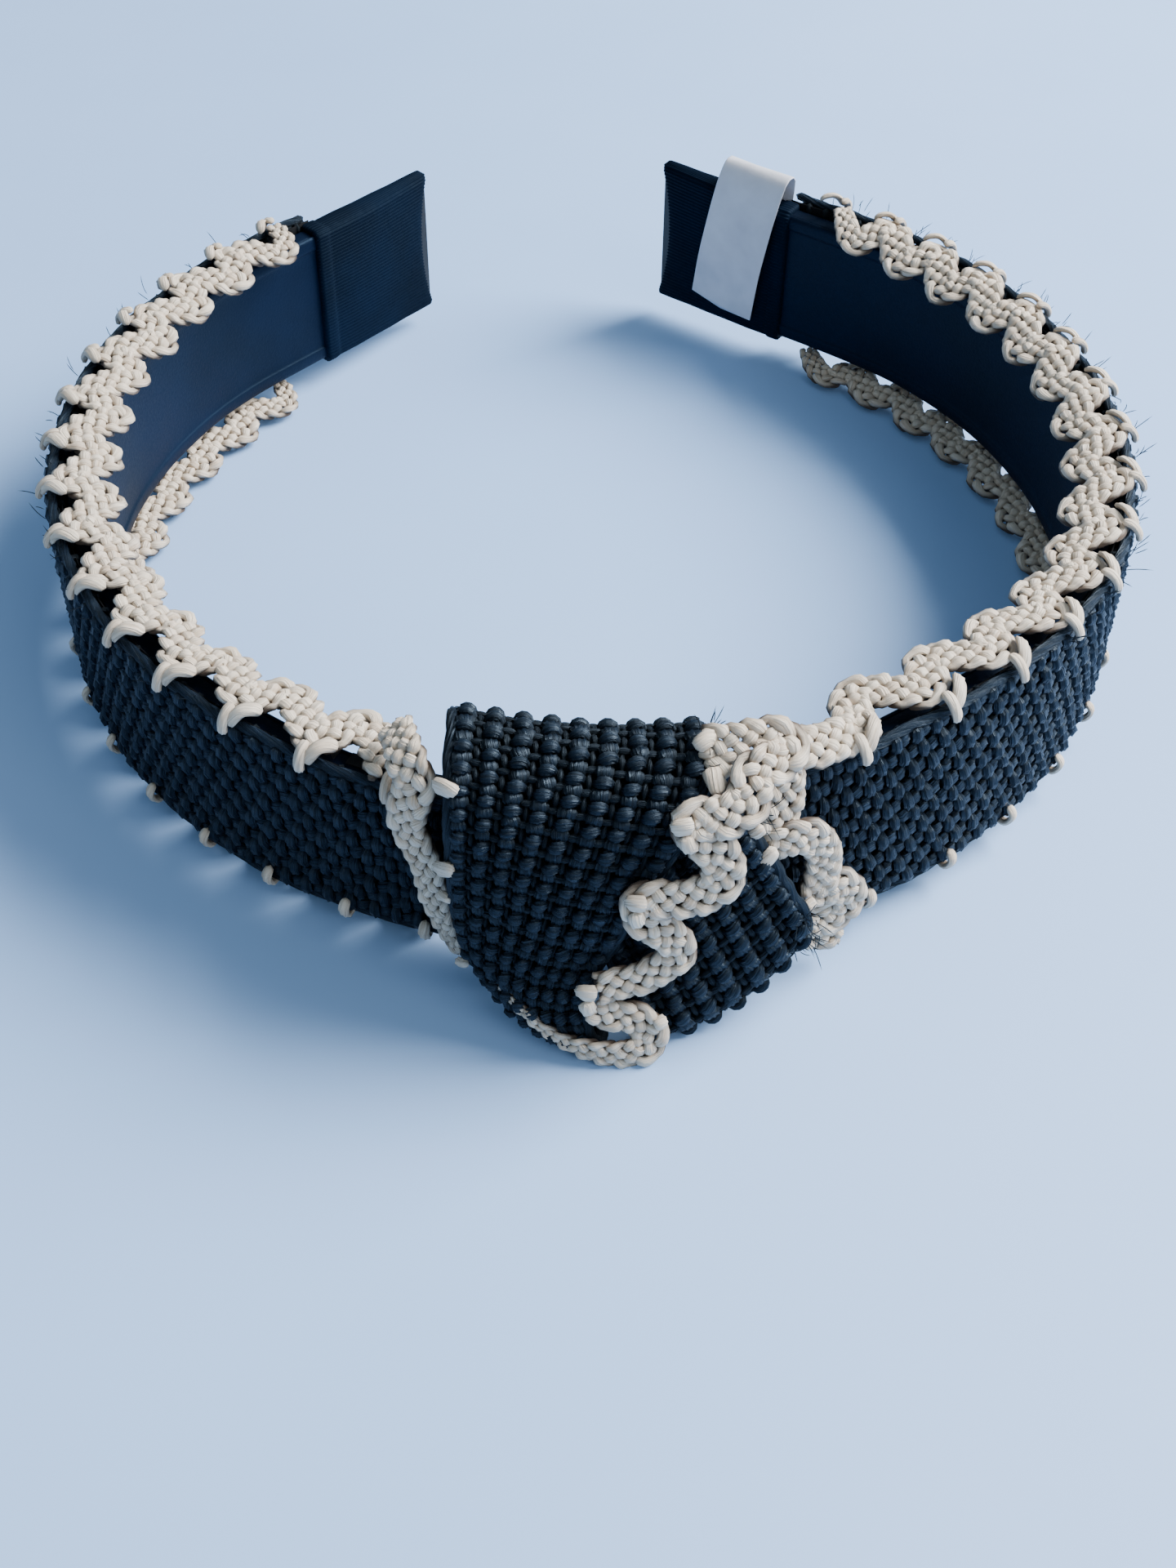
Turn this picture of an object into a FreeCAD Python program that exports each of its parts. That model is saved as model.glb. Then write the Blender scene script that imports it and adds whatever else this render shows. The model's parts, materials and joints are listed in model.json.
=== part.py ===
"""Knotted headband: a flexible C-shaped hoop, dressed in woven braid with plaited zigzag trims.

Frame: +Z up and the hoop lies on its lower edge on z = 0.
The knot faces -Y and the gap between the tips faces +Y.
Angles along the hoop are measured at its centre from the front, positive towards +X.
Lengths are in millimetres.
"""
import FreeCAD, Part
import os

import Sketcher
from FreeCAD import Placement, Rotation, Vector

doc = FreeCAD.newDocument("KnottedHeadband")

# ------------------------------ driving dimensions
DRIVING = [
    ("hoop_radius", 70.5, "outer face of the woven braid"),
    ("hoop_centre_y", 5.31, "how far the hoop's centre stands behind the origin"),
    ("hoop_sweep", 138, "degrees of arc on each side, before the straight tail"),
    ("tail_length", 34, "straight end of each arm, tip included"),
    ("joint_angle", 30, "degrees from the front to each flexing joint"),
    ("joint_gap", 1.2, "degrees left open at each flexing joint"),
    ("layer_gap", 0.05, "glue line between neighbouring layers"),
    ("band_bottom", 4.2, "height of the braid's lower edge"),
    ("band_width", 22, "width of the woven braid"),
    ("braid_thickness", 2.3, ""),
    ("sleeve_thickness", 0.5, "satin folded round the core"),
    ("core_thickness", 1.8, "springy plastic core"),
    ("core_margin", 1, "each edge of the core inside the braid's edge"),
    ("lining_thickness", 0.5, ""),
    ("trim_thickness", 2.2, ""),
    ("trim_width", 10, "across the zigzag, crest to crest"),
    ("top_trim_droop", 2.4, "inner crests of the top trim below its outer crests"),
    ("top_trim_setback", 1.5, "top trim's outer crests behind the braid's face"),
    ("low_trim_setback", 0.3, "lower trim's outer crests behind the braid's face"),
    ("low_trim_edge", 1.6, "height of the lower trim's outer edge"),
    ("low_trim_flat", 3, "width of the lower trim's resting edge"),
    ("cap_length", 24, "ribbon cap on each tip"),
    ("cap_thickness", 0.6, ""),
    ("cap_gap", 0.3, "from the braid's end to the cap"),
    ("sticker_width", 11.5, ""),
    ("sticker_thickness", 0.25, ""),
    ("sticker_from_cap_end", 3, "from the cap's inner end"),
    ("sticker_rise", 4.6, "fold of the sticker above the cap"),
    ("sticker_inside", 19, "how far it hangs below the cap's top on the inner face"),
    ("sticker_outside", 12, "the same on the outer face"),
    ("knot_bulge", 5.5, "how far the knot's tip stands in front of its upper layers"),
    ("knot_rise", 7.8, "top of the knot above the braid's upper edge"),
    ("knot_width", 24, "width of the front wrap at its top"),
    ("wrap_thickness", 2.2, "woven strip of the knot"),
    ("inner_pass_thickness", 1.8, "strip that runs behind the wraps"),
    ("pass_margin", 1.8, "that strip's edges inside the braid's edges"),
    ("tip_trim_thickness", 1.9, "trim drawn thin round the knot's tip"),
    ("knot_gap", 0.1, "air between the knot's layers"),
]

sheet = doc.addObject("Spreadsheet::Sheet", "Sizes")
for row, (alias, value, note) in enumerate(DRIVING, start=1):
    sheet.set(f"A{row}", alias)
    sheet.set(f"B{row}", str(value))
    sheet.setAlias(f"B{row}", alias)
    sheet.set(f"C{row}", note)
doc.recompute()

# ------------------------------ radii and heights, as expressions on the sheet
OUTER = "Sizes.hoop_radius"
BRAID_IN = f"{OUTER} - Sizes.braid_thickness"
SLEEVE_OUT = f"{BRAID_IN} - Sizes.layer_gap"
SLEEVE_IN = f"{SLEEVE_OUT} - Sizes.sleeve_thickness"
CORE_OUT = f"{SLEEVE_IN} - Sizes.layer_gap"
CORE_IN = f"{CORE_OUT} - Sizes.core_thickness"
LINING_OUT = f"{CORE_IN} - Sizes.layer_gap"
LINING_IN = f"{LINING_OUT} - Sizes.lining_thickness"

BAND_LOW = "Sizes.band_bottom"
BAND_HIGH = f"{BAND_LOW} + Sizes.band_width"
CORE_LOW = f"{BAND_LOW} + Sizes.core_margin"
CORE_HIGH = f"{BAND_HIGH} - Sizes.core_margin"
FOLD_LOW = f"{CORE_LOW} - Sizes.layer_gap"
FOLD_HIGH = f"{CORE_HIGH} + Sizes.layer_gap"
SLEEVE_LOW = f"{FOLD_LOW} - Sizes.sleeve_thickness"
SLEEVE_HIGH = f"{FOLD_HIGH} + Sizes.sleeve_thickness"

TOP_TRIM_OUT = f"{OUTER} - Sizes.top_trim_setback"
TOP_TRIM_IN = f"{TOP_TRIM_OUT} - Sizes.trim_width"
TOP_TRIM_LOW = f"{BAND_HIGH} + Sizes.layer_gap"
TOP_TRIM_HIGH = f"{TOP_TRIM_LOW} + Sizes.trim_thickness"
LOW_TRIM_OUT = f"{OUTER} - Sizes.low_trim_setback"
LOW_TRIM_IN = f"{LOW_TRIM_OUT} - Sizes.trim_width"
LOW_TRIM_HIGH = f"{BAND_LOW} - Sizes.layer_gap"

CAP_HOLE_IN = f"{LINING_IN} - Sizes.layer_gap"
CAP_HOLE_OUT = f"{SLEEVE_OUT} + Sizes.layer_gap"
CAP_IN = f"{CAP_HOLE_IN} - Sizes.cap_thickness"
CAP_OUT = f"{CAP_HOLE_OUT} + Sizes.cap_thickness"
CAP_HOLE_LOW = f"{SLEEVE_LOW} - Sizes.layer_gap"
CAP_HOLE_HIGH = f"{SLEEVE_HIGH} + Sizes.layer_gap"
CAP_LOW = f"{CAP_HOLE_LOW} - Sizes.cap_thickness"
CAP_HIGH = f"{CAP_HOLE_HIGH} + Sizes.cap_thickness"

PASS_IN = f"{OUTER} + Sizes.knot_gap"
PASS_OUT = f"{PASS_IN} + Sizes.inner_pass_thickness"
PASS_LOW = f"{BAND_LOW} + Sizes.pass_margin"
PASS_HIGH = f"{BAND_HIGH} - Sizes.pass_margin"
SIDE_TRIM_HIGH = f"{BAND_HIGH} + Sizes.trim_thickness"
LOWER_FACE = f"{PASS_OUT} + Sizes.knot_gap + Sizes.wrap_thickness"
DIAGONAL_FACE = f"{LOWER_FACE} + Sizes.knot_gap + Sizes.trim_thickness"
FRONT_FACE = f"{LOWER_FACE} + Sizes.knot_gap + Sizes.wrap_thickness"
TIP_FACE = f"{FRONT_FACE} + Sizes.knot_gap + Sizes.tip_trim_thickness"
KNOT_TOP = f"{BAND_HIGH} + Sizes.knot_rise"

DRESSED_TAIL = "Sizes.tail_length - Sizes.cap_length - Sizes.cap_gap"
CAPPED_TAIL = "Sizes.tail_length - Sizes.cap_thickness - Sizes.layer_gap"


def box_section(inner, outer, low, high):
    """Corners of a plain rectangular section, each a (radius, height) pair of expressions."""
    return [(inner, low), (outer, low), (outer, high), (inner, high)]


CORE_SECTION = box_section(CORE_IN, CORE_OUT, CORE_LOW, CORE_HIGH)
LINING_SECTION = box_section(LINING_IN, LINING_OUT, SLEEVE_LOW, SLEEVE_HIGH)
BRAID_SECTION = box_section(BRAID_IN, OUTER, BAND_LOW, BAND_HIGH)
TOP_TRIM_SECTION = [
    (TOP_TRIM_OUT, TOP_TRIM_LOW),
    (TOP_TRIM_OUT, TOP_TRIM_HIGH),
    (LINING_IN, TOP_TRIM_HIGH),
    (TOP_TRIM_IN, f"{TOP_TRIM_HIGH} - Sizes.top_trim_droop"),
    (TOP_TRIM_IN, f"{TOP_TRIM_LOW} - Sizes.top_trim_droop"),
    (LINING_IN, TOP_TRIM_LOW),
]
SLEEVE_SECTION = [
    (CORE_IN, SLEEVE_LOW), (SLEEVE_OUT, SLEEVE_LOW), (SLEEVE_OUT, SLEEVE_HIGH), (CORE_IN, SLEEVE_HIGH),
    (CORE_IN, FOLD_HIGH), (SLEEVE_IN, FOLD_HIGH), (SLEEVE_IN, FOLD_LOW), (CORE_IN, FOLD_LOW),
]
LOW_TRIM_SECTION = [
    (LOW_TRIM_IN, "0"),
    (f"{LOW_TRIM_IN} + Sizes.low_trim_flat", "0"),
    (LOW_TRIM_OUT, f"{LOW_TRIM_HIGH} - Sizes.low_trim_edge"),
    (LOW_TRIM_OUT, LOW_TRIM_HIGH),
    (f"{LOW_TRIM_OUT} - Sizes.low_trim_edge", LOW_TRIM_HIGH),
    (LOW_TRIM_IN, "Sizes.trim_thickness"),
]

nodes = []


# ------------------------------ helpers
def new_body(label):
    body = doc.addObject("PartDesign::Body", label)
    body.Label = label
    nodes.append(body)
    return body


def origin_feature(body, role):
    for feature in body.Origin.OriginFeatures:
        if feature.Role == role:
            return feature
    raise ValueError(role)


def outline_sketch(body, name, plane, corners):
    """A closed outline whose every corner is held by two dimensions, both bound to the sheet."""
    sketch = body.newObject("Sketcher::SketchObject", name)
    sketch.AttachmentSupport = (origin_feature(body, plane), [""])
    sketch.MapMode = "FlatFace"
    add_outline(sketch, corners)
    return sketch


def add_outline(sketch, corners):
    places = [tuple(evaluate(sketch, value) for value in corner) for corner in corners]
    first = sketch.GeometryCount
    for index, (x, y) in enumerate(places):
        next_x, next_y = places[(index + 1) % len(places)]
        sketch.addGeometry(Part.LineSegment(Vector(x, y, 0), Vector(next_x, next_y, 0)))
    for index in range(len(places)):
        following = (index + 1) % len(places)
        sketch.addConstraint(Sketcher.Constraint("Coincident", first + index, 2, first + following, 1))
    for index, (across, up) in enumerate(corners):
        hold(sketch, "DistanceX", first + index, across)
        hold(sketch, "DistanceY", first + index, up)


def evaluate(sketch, expression):
    return float(getattr(sketch.evalExpression(expression), "Value", sketch.evalExpression(expression)))


def hold(sketch, kind, line, expression):
    """Fix one coordinate of a line's start point, measured from the sketch's origin."""
    value = evaluate(sketch, expression)
    if value == 0:
        axis = -2 if kind == "DistanceX" else -1
        sketch.addConstraint(Sketcher.Constraint("PointOnObject", line, 1, axis))
        return
    number = sketch.addConstraint(Sketcher.Constraint(kind, -1, 1, line, 1, value))
    sketch.setExpression(f"Constraints[{number}]", expression)


def turn_about_hoop(body, angle):
    """Stand a body, drawn with its section on the XZ plane, at an angle along the hoop."""
    body.Placement = Placement(Vector(0, 0, 0), Rotation(Vector(0, 0, 1), 45))
    body.setExpression("Placement.Rotation.Angle", f"({angle}) - 90")
    body.setExpression("Placement.Base.y", "Sizes.hoop_centre_y")


def ring_piece(label, corners, start, end):
    """A stretch of hoop section between two angles."""
    body = new_body(label)
    section = outline_sketch(body, label + "_section", "XZ_Plane", corners)
    ring = body.newObject("PartDesign::Revolution", label + "_ring")
    ring.Profile = section
    ring.ReferenceAxis = (origin_feature(body, "Z_Axis"), [""])
    ring.setExpression("Angle", f"({end}) - ({start})")
    turn_about_hoop(body, start)
    return body


def arm_piece(label, side, corners, tail):
    """A hoop section from the flexing joint to the end of the arc, and on along the straight tail."""
    right = side == "right"
    body = new_body(label)
    section = outline_sketch(body, label + "_section", "XZ_Plane", corners)
    straight = body.newObject("PartDesign::Pad", label + "_tail")
    straight.Profile = section
    straight.Reversed = right
    straight.setExpression("Length", tail)
    arc = body.newObject("PartDesign::Revolution", label + "_arc")
    arc.Profile = section
    arc.ReferenceAxis = (origin_feature(body, "Z_Axis"), [""])
    arc.Reversed = right
    arc.setExpression("Angle", "Sizes.hoop_sweep - Sizes.joint_angle - Sizes.joint_gap / 2")
    turn_about_hoop(body, "Sizes.hoop_sweep" if right else "-Sizes.hoop_sweep")
    return body


def tail_slab(body, name, side, corners, start, length, kind="Pad"):
    """Add or cut a block along the straight tail, from start onwards, both measured from the arc's end."""
    right = side == "right"
    sketch = outline_sketch(body, name + "_outline", "XZ_Plane", corners)
    away = "-" if right else ""
    sketch.setExpression("AttachmentOffset.Base.z", f"{away}({start})")
    block = body.newObject("PartDesign::" + kind, name)
    block.Profile = sketch
    block.Reversed = right if kind == "Pad" else not right
    block.setExpression("Length", length)
    return block


def wrap_piece(label, profile, thickness, outline):
    """A thick strip bent over the front of the hoop.

    The profile's rows are (distance from the hoop's centre, height, lean of the outward direction
    in degrees), from the surface upwards. Heights are shares of the knot's height.
    The outline is what the strip covers, seen from the front, in (share of the knot's width,
    share of the knot's height).
    """
    body = new_body(label)
    outside = []
    inside = []
    for reach, up, lean in profile:
        height = f"{up} * ({KNOT_TOP})"
        outside.append((f"-({reach})", height))
        inner_reach = f"-({reach}) + {thickness} * cos({lean} deg)"
        inner_height = f"{height} - {thickness} * sin({lean} deg)"
        inside.append((inner_reach, inner_height))
    strip_profile = outline_sketch(body, label + "_profile", "YZ_Plane", outside + inside[::-1])
    strip = body.newObject("PartDesign::Pad", label + "_strip")
    strip.Profile = strip_profile
    strip.Midplane = True
    strip.setExpression("Length", "3 * Sizes.knot_width")
    window = [(f"{x} * Sizes.knot_width", f"{z} * ({KNOT_TOP})") for x, z in outline]
    cut_sketch = outline_sketch(body, label + "_outline", "XZ_Plane", window)
    margin = "2 * Sizes.knot_width"
    low = f"-1 * ({KNOT_TOP})"
    high = f"2 * ({KNOT_TOP})"
    add_outline(cut_sketch, [(f"-{margin}", low), (margin, low), (margin, high), (f"-{margin}", high)])
    cut = body.newObject("PartDesign::Pocket", label + "_cut")
    cut.Profile = cut_sketch
    cut.Midplane = True
    cut.Type = "ThroughAll"
    body.setExpression("Placement.Base.y", "Sizes.hoop_centre_y")
    return body


# ------------------------------ the hoop's centre, between the flexing joints
CENTRE_START = "-(Sizes.joint_angle - Sizes.joint_gap / 2)"
CENTRE_END = "Sizes.joint_angle - Sizes.joint_gap / 2"
STRIP_PARTING = "0.15"
KNOT_LEFT = "-20.2"
KNOT_RIGHT = "13.2"

ring_piece("hoop_core_centre", CORE_SECTION, CENTRE_START, CENTRE_END)
ring_piece("satin_sleeve_centre", SLEEVE_SECTION, CENTRE_START, CENTRE_END)
ring_piece("lining_centre", LINING_SECTION, CENTRE_START, CENTRE_END)
ring_piece("braid_left_root", BRAID_SECTION, CENTRE_START, f"-{STRIP_PARTING}")
ring_piece("braid_right_root", BRAID_SECTION, STRIP_PARTING, CENTRE_END)
ring_piece("top_trim_left_root", TOP_TRIM_SECTION, CENTRE_START, KNOT_LEFT)
ring_piece("top_trim_right_root", TOP_TRIM_SECTION, KNOT_RIGHT, CENTRE_END)
ring_piece("lower_trim_left_root", LOW_TRIM_SECTION, CENTRE_START, KNOT_LEFT)
ring_piece("lower_trim_right_root", LOW_TRIM_SECTION, KNOT_RIGHT, CENTRE_END)

# ------------------------------ the arms
for side in ("left", "right"):
    arm_piece(f"hoop_core_{side}", side, CORE_SECTION, CAPPED_TAIL)
    arm_piece(f"satin_sleeve_{side}", side, SLEEVE_SECTION, CAPPED_TAIL)
    arm_piece(f"lining_{side}", side, LINING_SECTION, CAPPED_TAIL)
    arm_piece(f"braid_{side}", side, BRAID_SECTION, DRESSED_TAIL)
    arm_piece(f"top_trim_{side}", side, TOP_TRIM_SECTION, DRESSED_TAIL)
    arm_piece(f"lower_trim_{side}", side, LOW_TRIM_SECTION, DRESSED_TAIL)

    cap = new_body(f"end_cap_{side}")
    cap_corners = box_section(CAP_IN, CAP_OUT, CAP_LOW, CAP_HIGH)
    hole_corners = box_section(CAP_HOLE_IN, CAP_HOLE_OUT, CAP_HOLE_LOW, CAP_HOLE_HIGH)
    cap_start = "Sizes.tail_length - Sizes.cap_length"
    tail_slab(cap, f"cap_shell_{side}", side, cap_corners, cap_start, "Sizes.cap_length")
    hole_depth = "Sizes.cap_length - Sizes.cap_thickness"
    tail_slab(cap, f"cap_hollow_{side}", side, hole_corners, cap_start, hole_depth, kind="Pocket")
    turn_about_hoop(cap, "Sizes.hoop_sweep" if side == "right" else "-Sizes.hoop_sweep")

# ------------------------------ blank paper sticker folded over the right cap
sticker = new_body("price_sticker")
LEAF_IN = f"{CAP_IN} - Sizes.layer_gap"
LEAF_OUT = f"{CAP_OUT} + Sizes.layer_gap"
FOLD_UNDER = f"{CAP_HIGH} + Sizes.sticker_rise"
FOLD_OVER = f"{FOLD_UNDER} + Sizes.sticker_thickness"
INSIDE_END = f"{CAP_HIGH} - Sizes.sticker_inside"
OUTSIDE_END = f"{CAP_HIGH} - Sizes.sticker_outside"
sticker_corners = [
    (f"{LEAF_IN} - Sizes.sticker_thickness", INSIDE_END),
    (LEAF_IN, INSIDE_END),
    (LEAF_IN, FOLD_UNDER),
    (LEAF_OUT, FOLD_UNDER),
    (LEAF_OUT, OUTSIDE_END),
    (f"{LEAF_OUT} + Sizes.sticker_thickness", OUTSIDE_END),
    (f"{LEAF_OUT} + Sizes.sticker_thickness", FOLD_OVER),
    (f"{LEAF_IN} - Sizes.sticker_thickness", FOLD_OVER),
]
sticker_start = "Sizes.tail_length - Sizes.cap_length + Sizes.sticker_from_cap_end"
tail_slab(sticker, "sticker_leaf", "right", sticker_corners, sticker_start, "Sizes.sticker_width")
turn_about_hoop(sticker, "Sizes.hoop_sweep")

# ------------------------------ the knot
# angles round the hoop from the middle of the knot, in degrees
PASS_START = "-17"
PASS_END = "11.5"
LEFT_TRIM_START = "-22.4"
LEFT_TRIM_END = "-17.2"
RIGHT_TRIM_START = "11.7"
RIGHT_TRIM_END = "16.6"
inner_pass_section = box_section(PASS_IN, PASS_OUT, PASS_LOW, PASS_HIGH)
ring_piece("knot_inner_pass", inner_pass_section, PASS_START, PASS_END)
side_trim = box_section(PASS_IN, f"{PASS_IN} + Sizes.trim_thickness", PASS_LOW, SIDE_TRIM_HIGH)
ring_piece("knot_trim_left", side_trim, LEFT_TRIM_START, LEFT_TRIM_END)
ring_piece("knot_trim_right", side_trim, RIGHT_TRIM_START, RIGHT_TRIM_END)

lower_wrap_profile = [
    (f"{LOWER_FACE} + 1.5", 0.06, 0), (f"{LOWER_FACE} + 0.4", 0.25, 0), (f"{LOWER_FACE} + 0.3", 0.62, 5),
    (LOWER_FACE, 0.84, 5),
]
lower_wrap_outline = [
    (-0.34, 0.10), (-0.34, 0.42), (-0.12, 0.61), (-0.02, 0.74), (0.25, 0.83), (0.42, 0.74), (0.57, 0.42),
    (0.65, 0.30), (0.55, 0.19), (0.25, 0.09), (-0.04, 0.07),
]
wrap_piece("knot_lower_wrap", lower_wrap_profile, "Sizes.wrap_thickness", lower_wrap_outline)

diagonal_trim_profile = [
    (f"{DIAGONAL_FACE} + 0.7", 0.22, 0),
    (f"{DIAGONAL_FACE} + 0.5", 0.64, 5),
    (f"{DIAGONAL_FACE} + 0.3", 0.86, 15),
    (f"{DIAGONAL_FACE} - 0.6", 0.96, 35),
]
diagonal_trim_outline = [
    (0.13, 0.99), (0.005, 0.89), (-0.095, 0.70), (-0.235, 0.50), (-0.345, 0.34), (-0.33, 0.24),
    (-0.16, 0.22), (0.03, 0.34), (0.19, 0.51), (0.29, 0.69), (0.45, 0.82), (0.48, 0.95), (0.33, 0.99),
]
wrap_piece("knot_trim_diagonal", diagonal_trim_profile, "Sizes.trim_thickness", diagonal_trim_outline)

front_wrap_profile = [
    (f"{FRONT_FACE} + Sizes.knot_bulge", 0.03, 0),
    (f"{FRONT_FACE} + 0.5 * Sizes.knot_bulge", 0.35, 10),
    (f"{FRONT_FACE} + 0.15 * Sizes.knot_bulge", 0.66, 15),
    (f"{FRONT_FACE} - 1.2 * Sizes.wrap_thickness", 0.88, 35),
    (f"{OUTER} - 0.65 * Sizes.wrap_thickness", 1.00, 80),
    (f"{LINING_IN} - Sizes.wrap_thickness", 0.975, 100),
    (f"{LINING_IN} - 2 * Sizes.wrap_thickness", 0.88, 140),
]
front_wrap_outline = [
    (-0.86, 1.05), (-0.92, 0.80), (-0.92, 0.52), (-0.87, 0.30), (-0.72, 0.15), (-0.50, 0.035),
    (-0.23, 0.035), (-0.36, 0.34), (-0.25, 0.51), (-0.11, 0.71), (-0.01, 0.90), (0.16, 1.05),
]
wrap_piece("knot_front_wrap", front_wrap_profile, "Sizes.wrap_thickness", front_wrap_outline)

tip_trim_profile = [
    (f"{TIP_FACE} + Sizes.knot_bulge", 0.01, 0), (f"{TIP_FACE} + 0.93 * Sizes.knot_bulge", 0.12, 5),
    (f"{TIP_FACE} + 0.8 * Sizes.knot_bulge", 0.20, 10),
]
tip_trim_outline = [
    (-0.48, 0.012), (-0.10, 0.012), (-0.06, 0.10), (-0.14, 0.19), (-0.40, 0.19), (-0.50, 0.10),
]
wrap_piece("knot_trim_tip", tip_trim_profile, "Sizes.tip_trim_thickness", tip_trim_outline)

doc.recompute()

# ------------------------------ checks and export
for thing in doc.Objects:
    if "Invalid" in thing.State or "Error" in thing.State:
        raise RuntimeError(f"{thing.Label} did not rebuild: {thing.State}")
for body in nodes:
    if body.Shape.isNull() or not body.Shape.isValid() or not body.Shape.Solids:
        raise RuntimeError(f"{body.Label} has no sound solid")

os.makedirs("parts", exist_ok=True)
for body in nodes:
    body.Shape.exportStep(f"parts/{body.Label}.step")
    box = body.Shape.BoundBox
    print(f"{body.Label:24s} {body.Shape.Volume:9.1f} mm3  x {box.XMin:7.2f} {box.XMax:7.2f}"
          f"  y {box.YMin:7.2f} {box.YMax:7.2f}  z {box.ZMin:6.2f} {box.ZMax:6.2f}")
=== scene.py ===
"""Knotted headband: the looks of each piece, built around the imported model.

Lengths are worked out in millimetres and turned into metres when a mesh is made.
"along" is the distance round the hoop at the strip's outer face, left of the knot negative.
"""
import json
import math

import bmesh
import bpy
import numpy as np
from mathutils import Matrix, Vector


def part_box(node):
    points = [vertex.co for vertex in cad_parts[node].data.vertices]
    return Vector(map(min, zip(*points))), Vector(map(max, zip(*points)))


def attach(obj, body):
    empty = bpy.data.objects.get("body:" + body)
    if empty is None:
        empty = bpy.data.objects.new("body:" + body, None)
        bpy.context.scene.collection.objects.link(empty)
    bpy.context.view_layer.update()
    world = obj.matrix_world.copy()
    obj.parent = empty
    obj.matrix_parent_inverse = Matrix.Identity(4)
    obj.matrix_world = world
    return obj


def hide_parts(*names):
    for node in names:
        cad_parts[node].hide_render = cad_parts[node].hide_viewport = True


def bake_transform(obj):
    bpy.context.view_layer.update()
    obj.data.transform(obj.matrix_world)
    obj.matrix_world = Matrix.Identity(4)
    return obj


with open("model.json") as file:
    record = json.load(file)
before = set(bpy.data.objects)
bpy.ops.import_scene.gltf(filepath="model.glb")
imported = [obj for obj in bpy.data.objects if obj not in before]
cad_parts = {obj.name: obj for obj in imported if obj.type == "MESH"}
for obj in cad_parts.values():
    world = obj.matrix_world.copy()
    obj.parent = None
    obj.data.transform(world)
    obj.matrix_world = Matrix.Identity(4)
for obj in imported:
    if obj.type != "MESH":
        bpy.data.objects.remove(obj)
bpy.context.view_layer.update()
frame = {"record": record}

MM = 0.001

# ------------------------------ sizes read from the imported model
SEAT = next(m for m in frame["record"]["mounts"] if m["name"] == "head_seat")
CENTRE_Y = SEAT["pos_m"][1] / MM


def low(node, axis):
    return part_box(node)[0][axis] / MM


def high(node, axis):
    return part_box(node)[1][axis] / MM


SWEEP = math.radians(138)
STRIP_FACE = high("braid_right", 0)
ARC_LENGTH = STRIP_FACE * SWEEP
STRIP_LOW, STRIP_HIGH = low("braid_right", 2) - 0.3, high("braid_right", 2) + 0.8
STRIP_WIDE = STRIP_HIGH - STRIP_LOW
STRIP_THICK = 2.3
STRIP_MID = STRIP_FACE - STRIP_THICK / 2
SLEEVE_LOW, SLEEVE_HIGH = low("lining_right", 2), high("lining_right", 2)
TRIM_OUT, TRIM_TOP = high("top_trim_right", 0), high("top_trim_right", 2)
CAP_LOW, CAP_HIGH = low("end_cap_right", 2), high("end_cap_right", 2)
CAP_IN, CAP_OUT = 64.6, 68.8
TAIL = 34.0
CAP_LENGTH = 24.0
CAP_START = ARC_LENGTH + TAIL - CAP_LENGTH
JOINT = STRIP_FACE * math.radians(30)
FLEX = 13.0
BAND_MIDDLE = 15.2
ZIGZAG = 10.4
FULL_TURN = 6.28
TABLE = 0.00002  # metres: strands press flat where they rest on the table
SAME_PLACE = 1e-7


def side_name(side):
    return "right" if side > 0 else "left"


# ------------------------------ the hoop as a surface
def on_hoop(along, out, up):
    """Places on the hoop, in mm: along it, out from its centre, and up."""
    along, out, up = np.broadcast_arrays(*(np.asarray(v, float) for v in (along, out, up)))
    side = np.where(along < 0, -1.0, 1.0)
    # the upper edge rises to the right of the knot and dips to its left
    swell = 1.7 * np.exp(-(((along - 38) / 24) ** 2)) - 0.9 * np.exp(-(((along + 28) / 13) ** 2))
    swell = swell * np.clip((up - 6) / 20, 0, 1.1)
    out, up = out - 0.6 * swell, up + swell
    angle = np.minimum(np.abs(along), ARC_LENGTH) / STRIP_FACE
    tail = np.maximum(np.abs(along) - ARC_LENGTH, 0)
    x = out * np.sin(angle) + tail * np.cos(angle)
    y = -out * np.cos(angle) + tail * np.sin(angle)
    return np.stack([side * x, y + CENTRE_Y, up], -1)


def unit(v):
    return v / np.maximum(np.linalg.norm(v, axis=-1, keepdims=True), 1e-9)


def facing(surface, a, b, flip=1.0):
    """The two directions of a surface at (a, b), with their lengths, and its outward normal."""
    step = 1e-3
    da = (surface(a + step, b) - surface(a - step, b)) / (2 * step)
    db = (surface(a, b + step) - surface(a, b - step)) / (2 * step)
    return da, db, unit(np.cross(da, db)) * flip


def wander(rng, count, size, smooth=4):
    """A slow random drift with the given spread."""
    kernel = np.hanning(2 * smooth + 3)
    kernel = kernel / np.sqrt((kernel**2).sum())
    return np.convolve(rng.normal(0, 1, count + len(kernel) - 1), kernel, "valid") * size


def reach_along(line):
    """How far along a line each of its places is."""
    return np.concatenate([[0], np.cumsum(np.linalg.norm(np.diff(line, axis=0), axis=1))])


def read_between(at, known, rows):
    """Rows given at known places, read at other places."""
    return np.stack([np.interp(at, known, column) for column in np.transpose(rows)], 1)


def even_steps(line, step=None, count=None):
    reach = reach_along(line)
    count = count or max(4, int(round(reach[-1] / step)) + 1)
    return read_between(np.linspace(0, reach[-1], count), reach, line)


def with_ends(points):
    """The points and one more past each end, in line with the last two."""
    p = np.array(points, float)
    return np.vstack([2 * p[0] - p[1], p, 2 * p[-1] - p[-2]])


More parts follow.
